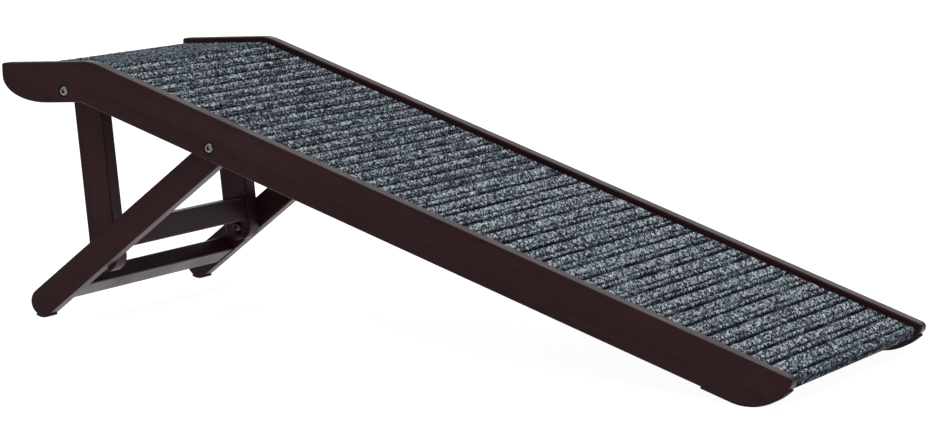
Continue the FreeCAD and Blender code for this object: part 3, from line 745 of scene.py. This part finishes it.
def felt_faces(rows, columns):
    """Quads over the face, under it and down both sides, and one many-sided face at each end."""
    top = np.arange(rows * columns).reshape(rows, columns)
    low = rows * columns + np.arange(rows * 2).reshape(rows, 2)
    over = np.stack([top[:-1, :-1], top[1:, :-1], top[1:, 1:], top[:-1, 1:]], -1)
    below = np.stack([low[:-1, 0], low[:-1, 1], low[1:, 1], low[1:, 0]], -1)
    left = np.stack([top[:-1, 0], low[:-1, 0], low[1:, 0], top[1:, 0]], -1)
    right = np.stack([top[:-1, -1], top[1:, -1], low[1:, 1], low[:-1, 1]], -1)
    quads = np.concatenate([over.reshape(-1, 4), below, left, right]).tolist()
    start = top[0].tolist() + [int(low[0, 1]), int(low[0, 0])]
    end = [int(low[-1, 0]), int(low[-1, 1])] + top[-1, ::-1].tolist()
    return quads + [start, end]


print("sheet helpers ready")

# %% [markdown]
# ## The colour of the felt
# The felt is spun from black, navy and pale grey fibres, so close up it is salt and pepper
# and from afar a cool mid grey. The grooves get a painted shade: their colour is pulled
# towards black for the light that doesn't get in. Flecks lean off the width, the way the
# fibres were carded. The pattern reads the cloth's own run and width, stored on its
# vertices, so it stays with the cloth over the crease and the lip.

# %% The felt recipe
FELT_BLACK = (0.0030, 0.0055, 0.0095)
FELT_NAVY = (0.0200, 0.0290, 0.0420)
FELT_SLATE = (0.1100, 0.1370, 0.1680)
FELT_SILVER = (0.6200, 0.6900, 0.7600)
# Painted shade: the colour that the grooves are darkened towards.
FELT_GROOVE_PAINTED_SHADE = (0.0025, 0.0040, 0.0065)
FLECK_LEAN = 0.435             # radians that flecks and fibres lean off the width
FLECK_STRETCH = (1.0, 3.2, 1.0)
FLECK_SCALE = 480.0            # flecks to a metre
CLUMP_SCALE = 190.0
PATCH_SCALE = 14.0
FLECK_SHARE = 0.62             # shares of the shade; the three add up to one
CLUMPED_SHARE = 0.28
PATCH_SHARE = 0.10
GROOVE_PAINTED_SHADE_REACH = 0.95            # how far the deepest painted groove shade goes towards black
PILE_DEPTH = 0.0006


def ribbed_felt():
    """Leaning flecks of two sizes blend four fibre colours; painted groove shade pulls it to black."""
    felt = Finish("ribbed_needle_felt", Specular_IOR_Level=0.02)
    run = felt.node("Attribute", attribute_name="run").outputs["Fac"]
    across = felt.node("Attribute", attribute_name="across").outputs["Fac"]
    groove_painted_shade = felt.node("Attribute", attribute_name="groove_painted_shade").outputs["Fac"]
    cloth = felt.node("CombineXYZ", {"X": run, "Y": across}).outputs["Vector"]
    lean = felt.node("Mapping", {"Vector": cloth, "Rotation": (0, 0, FLECK_LEAN),
                                 "Scale": FLECK_STRETCH}, vector_type="TEXTURE").outputs["Vector"]
    fleck = felt.noise(lean, FLECK_SCALE, 2.0, 0.55)
    clump = felt.noise(lean, CLUMP_SCALE, 3.0, 0.6)
    patch = felt.noise(cloth, PATCH_SCALE, 2.0)
    shade = felt.maths("ADD", felt.maths("MULTIPLY", fleck, FLECK_SHARE),
                       felt.maths("MULTIPLY", clump, CLUMPED_SHARE))
    shade = felt.maths("ADD", shade, felt.maths("MULTIPLY", patch, PATCH_SHARE))
    colour = felt.colours(shade, (0.38, FELT_BLACK), (0.45, FELT_NAVY), (0.52, FELT_SLATE),
                          (0.62, FELT_SILVER))
    # Painted shade: the grooves' colour is pulled towards black.
    painted_shade = felt.maths("MULTIPLY", groove_painted_shade, GROOVE_PAINTED_SHADE_REACH)
    colour = felt.mix(painted_shade, colour, (*FELT_GROOVE_PAINTED_SHADE, 1.0))
    raised = felt.bump(felt.maths("ADD", fleck, clump), PILE_DEPTH, 0.8)
    return felt.done(colour, felt.spread(shade, 0.3, 0.7, 0.82, 0.95), raised)


FELT = ribbed_felt()
print("felt finish ready")

# %% The carpet itself
face_points, under_points = felt_points()
felt_rows, felt_columns = face_points.shape[:2]
carpet = mesh_piece(
    "carpet_felt",
    np.concatenate([face_points.reshape(-1, 3), under_points.reshape(-1, 3)]),
    felt_faces(felt_rows, felt_columns),
    FELT,
)
along_face = np.broadcast_to(FROM_CREASE[:, None], RELIEF.shape)
across_face = np.broadcast_to(ACROSS[None, :], RELIEF.shape)
point_values(carpet, "run", np.concatenate([along_face.ravel(), np.repeat(FROM_CREASE, 2)]))
point_values(carpet, "across", np.concatenate(
    [across_face.ravel(), np.tile([-HALF_WIDTH, HALF_WIDTH], felt_rows)]))
# Painted shade: the under face takes the full groove shade, and the cut sides and ends darken towards it.
point_values(carpet, "groove_painted_shade", np.concatenate([GROOVE_PAINTED_SHADE.ravel(), np.ones(2 * felt_rows)]))
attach(carpet, "ramp")
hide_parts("carpet")
print("carpet:", len(carpet.data.polygons), "faces, volume", round(enclosed(carpet) * 1e6), "cm3")

# %% [markdown]
# ## Loose fibres
# What makes felt look like felt is the nap: short fibres that arch out of the surface and
# catch the light one by one. Each is a slim spindle, a tip at each end and a three-cornered
# waist raised in the middle, which is only six faces, so tens of thousands stay light. They
# lie on the ribs, leaning the way the flecks do, and leave most of the grooves free. Fibres
# of one shade, from navy to silver, lie together in small clumps, which gives the felt its
# salt and pepper. The nap is made in bands, so that no single piece grows too heavy.

# %% Fibre finish
FIBRE_INK = (0.0040, 0.0075, 0.0125)
FIBRE_SLATE = (0.1150, 0.1450, 0.1800)
FIBRE_PALE = (0.8000, 0.8600, 0.9200)


def loose_fibre():
    """Each fibre's stored shade picks its colour, with a slight drift along it."""
    fibre = Finish("loose_felt_fibre", Specular_IOR_Level=0.04)
    shade = fibre.node("Attribute", attribute_name="shade").outputs["Fac"]
    drift = fibre.noise(fibre.place(), 700.0, 2.0)
    value = fibre.maths("ADD", shade, fibre.maths("MULTIPLY", drift, 0.12))
    colour = fibre.colours(value, (0.12, FIBRE_INK), (0.50, FIBRE_SLATE), (0.92, FIBRE_PALE))
    return fibre.done(colour, fibre.spread(drift, 0.3, 0.7, 0.6, 0.8))


FIBRE = loose_fibre()
print("fibre finish ready")

# %% Fibres in bands
FIBRES_PER_BAND = 32000
BANDS = 3
FIBRE_LENGTH = (0.0034, 0.0068)
FIBRE_WAIST = (0.00034, 0.00066)
FIBRE_ARCH = (0.00005, 0.00040)
FIBRE_SPREAD = 0.35            # spread of directions about the lean, in radians
TIP_SINK = 0.00015
CLUMP_LONG = 0.0060            # fibres of one shade lie in clumps of this length
CLUMP_WIDE = 0.0014
CLUMP_SHARE = 0.70             # how much of a fibre's shade comes from its clump
PLATFORM_PAINTED_SHADE = 0.72          # painted shade: share of its tone that a fibre keeps on the platform
CLUMP_TABLE = 256              # rows and columns of clump shades before they come round again
DRAWS_PER_FIBRE = 3            # places tried, since those over a groove are thrown away
GROOVE_LIMIT = (0.05, 0.35)    # darkest groove that a fibre lies over, drawn between these
ROWS_CLEAR = 2                 # rows left bare beside the round at each end
SPINDLE_POINTS = 5
CLUMP_SHAPE = (0.60, 0.55)     # beta shape: most clumps are either dark or pale


def spindles(centre, along, up, half, waist, arch):
    """Five points a fibre: tips at centre -+ half along, and a three-cornered waist.

    The waist's corners are centre + arch up + waist (cos t side + sin t up), with t at
    90, 210 and 330 degrees and side square to along and up.
    """
    side = np.cross(along, up)
    turn = np.radians([90.0, 210.0, 330.0])
    tips = [centre - half * along - TIP_SINK * up, centre + half * along - TIP_SINK * up]
    waists = [centre + arch * up + waist * (math.cos(t) * side + math.sin(t) * up) for t in turn]
    return np.stack(tips + waists, axis=1)


CLUMP_SHADES = chance.beta(*CLUMP_SHAPE, (CLUMP_TABLE, CLUMP_TABLE))
CLUMP_SHIFTS = chance.uniform(0.0, 1.0, CLUMP_TABLE)


def clump_shade(run, across):
    """Shade of the clump at each place, on a leaning grid of long thin cells.

    Along a clump: across cos L - run sin L; over it: run cos L + across sin L, with L the
    lean. Each row of cells is shifted by its own share of a cell's length.
    """
    row = np.floor((run * math.cos(FLECK_LEAN) + across * math.sin(FLECK_LEAN)) / CLUMP_WIDE)
    row = row.astype(int) % CLUMP_TABLE
    reach = (across * math.cos(FLECK_LEAN) - run * math.sin(FLECK_LEAN)) / CLUMP_LONG
    cell = np.floor(reach + CLUMP_SHIFTS[row]).astype(int) % CLUMP_TABLE
    return CLUMP_SHADES[row, cell]


SPINDLE_FACES = np.array([[0, 2, 3], [0, 3, 4], [0, 4, 2], [1, 3, 2], [1, 4, 3], [1, 2, 4]])


def nap_band(name, first_row, last_row, chance):
    """One band of nap between two rows of the carpet's face."""
    draws = FIBRES_PER_BAND * DRAWS_PER_FIBRE
    row = chance.uniform(first_row, last_row - 1, draws)
    column = chance.uniform(0, felt_columns - 1, draws)
    on_rib = GROOVE_PAINTED_SHADE[row.astype(int), column.astype(int)] < chance.uniform(*GROOVE_LIMIT, draws)
    row = row[on_rib][:FIBRES_PER_BAND]
    column = column[on_rib][:FIBRES_PER_BAND]
    i = row.astype(int)
    j = column.astype(int)
    down = (row - i)[:, None]
    over = (column - j)[:, None]
    centre = ((1 - down) * (1 - over) * face_points[i, j]
              + down * (1 - over) * face_points[i + 1, j]
              + (1 - down) * over * face_points[i, j + 1]
              + down * over * face_points[i + 1, j + 1])
    heading = TOP_HEADING[i]
    level = np.zeros(len(i))
    up = np.stack([-np.sin(heading), level, np.cos(heading)], axis=1)
    run = np.stack([np.cos(heading), level, np.sin(heading)], axis=1)
    lean = chance.normal(-FLECK_LEAN, FIBRE_SPREAD, len(i))[:, None]
    width = np.array([[0.0, 1.0, 0.0]])
    along = np.cos(lean) * width + np.sin(lean) * run
    length, waist, arch = [chance.uniform(*span, len(i))[:, None]
                           for span in (FIBRE_LENGTH, FIBRE_WAIST, FIBRE_ARCH)]
    reach = HALF_WIDTH - FIBRE_LENGTH[1] / 2
    centre[:, 1] = centre[:, 1].clip(-reach, reach)
    points = spindles(centre, along, up, length / 2, waist, arch)
    faces = (np.arange(len(i))[:, None, None] * SPINDLE_POINTS + SPINDLE_FACES[None]).reshape(-1, 3)
    band = mesh_piece(name, points.reshape(-1, 3), faces.tolist(), FIBRE)
    clump = clump_shade(FROM_CREASE[i], centre[:, 1])
    shade = CLUMP_SHARE * clump + (1 - CLUMP_SHARE) * chance.uniform(0.0, 1.0, len(i))
    # Painted shade: fibres on the platform are darkened.
    shade *= np.where(FROM_CREASE[i] < 0, PLATFORM_PAINTED_SHADE, 1.0)
    point_values(band, "shade", np.repeat(shade, SPINDLE_POINTS))
    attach(band, "ramp")
    return band


first_row = int(np.searchsorted(SHARES * TOP_LENGTH, END_SPAN[1])) + ROWS_CLEAR
last_row = int(np.searchsorted(SHARES * TOP_LENGTH, LIP_SPAN[0])) - ROWS_CLEAR
band_edges = np.linspace(first_row, last_row, BANDS + 1).astype(int)
nap = [nap_band(f"carpet_nap_{k + 1}", band_edges[k], band_edges[k + 1], chance)
       for k in range(BANDS)]
print("fibres' volume in cm3:", [round(enclosed(band) * 1e6, 1) for band in nap])

# %% [markdown]
# ## Floor and light
# The ramp stands on a plain white floor like a light table. The floor glows strongly where
# it is seen, directly or in the lacquer, so shadows stay pale; it throws much less light on
# the ramp, so the woodwork stays dark. One very wide soft light stands in for an overhead
# softbox. A panel behind the ramp gives the top edges their sheen, and a dim even surround
# fills in from all sides.

# %% Floor
FLOOR_HALF = 30.0
GLOW_SEEN = 0.95               # as it looks
GLOW_CAST = 0.22               # as it lights the ramp
FLOOR_WHITE = 0.30
FLOOR_BLOTCH = 0.01

floor_finish = Finish("white_floor", Roughness=0.9, Specular_IOR_Level=0.1)
blotch = floor_finish.noise(floor_finish.place(), 0.8, 2.0)
paper = floor_finish.spread(blotch, 0.2, 0.8, FLOOR_WHITE - FLOOR_BLOTCH,
                            FLOOR_WHITE + FLOOR_BLOTCH)
paper_colour = floor_finish.node("CombineColor", {"Red": paper, "Green": paper, "Blue": paper})
floor_finish.feed(floor_finish.shader.inputs["Base Color"], paper_colour.outputs["Color"])
floor_finish.feed(floor_finish.shader.inputs["Emission Color"], (1.0, 1.0, 1.0, 1.0))
scattered = floor_finish.node("LightPath").outputs["Is Diffuse Ray"]
glow = floor_finish.spread(scattered, 0.0, 1.0, GLOW_SEEN, GLOW_CAST)
floor_finish.feed(floor_finish.shader.inputs["Emission Strength"], glow)
floor_corners = FLOOR_HALF * np.array([(-1, -1, 0), (1, -1, 0), (1, 1, 0), (-1, 1, 0)])
floor = mesh_piece("floor", floor_corners, [(0, 1, 2, 3)], floor_finish.material)
print("floor ready")

# %% Lights
SOFTBOX_IRRADIANCE = 2.1
SOFTBOX_WIDTH = 75.0           # degrees of sky that it fills
SOFTBOX_TURN = (12.0, -14.0, 0.0)
SURROUND = 0.24
BACK_PANEL_WATTS = 20.0
BACK_PANEL_SIZE = (3.8, 2.0)   # wide and high, in metres
BACK_PANEL_PLACE = (-0.6, 3.2, 1.45)
BACK_PANEL_TURN = (-70.0, 0.0, 15.0)

softbox_data = bpy.data.lights.new("overhead_softbox", "SUN")
softbox_data.energy = SOFTBOX_IRRADIANCE
softbox_data.angle = math.radians(SOFTBOX_WIDTH)
softbox = bpy.data.objects.new("overhead_softbox", softbox_data)
softbox.rotation_euler = degrees_turn(SOFTBOX_TURN)
bpy.context.scene.collection.objects.link(softbox)

panel_data = bpy.data.lights.new("back_panel", "AREA")
panel_data.shape = "RECTANGLE"
panel_data.size = BACK_PANEL_SIZE[0]
panel_data.size_y = BACK_PANEL_SIZE[1]
panel_data.energy = BACK_PANEL_WATTS
panel = bpy.data.objects.new("back_panel", panel_data)
panel.location = BACK_PANEL_PLACE
panel.rotation_euler = degrees_turn(BACK_PANEL_TURN)
bpy.context.scene.collection.objects.link(panel)

surround = bpy.data.worlds.new("studio_surround")
surround.use_nodes = True
surround_light = surround.node_tree.nodes["Background"]
surround_light.inputs["Color"].default_value = (1.0, 1.0, 1.0, 1.0)
surround_light.inputs["Strength"].default_value = SURROUND
bpy.context.scene.world = surround
print("lights ready")
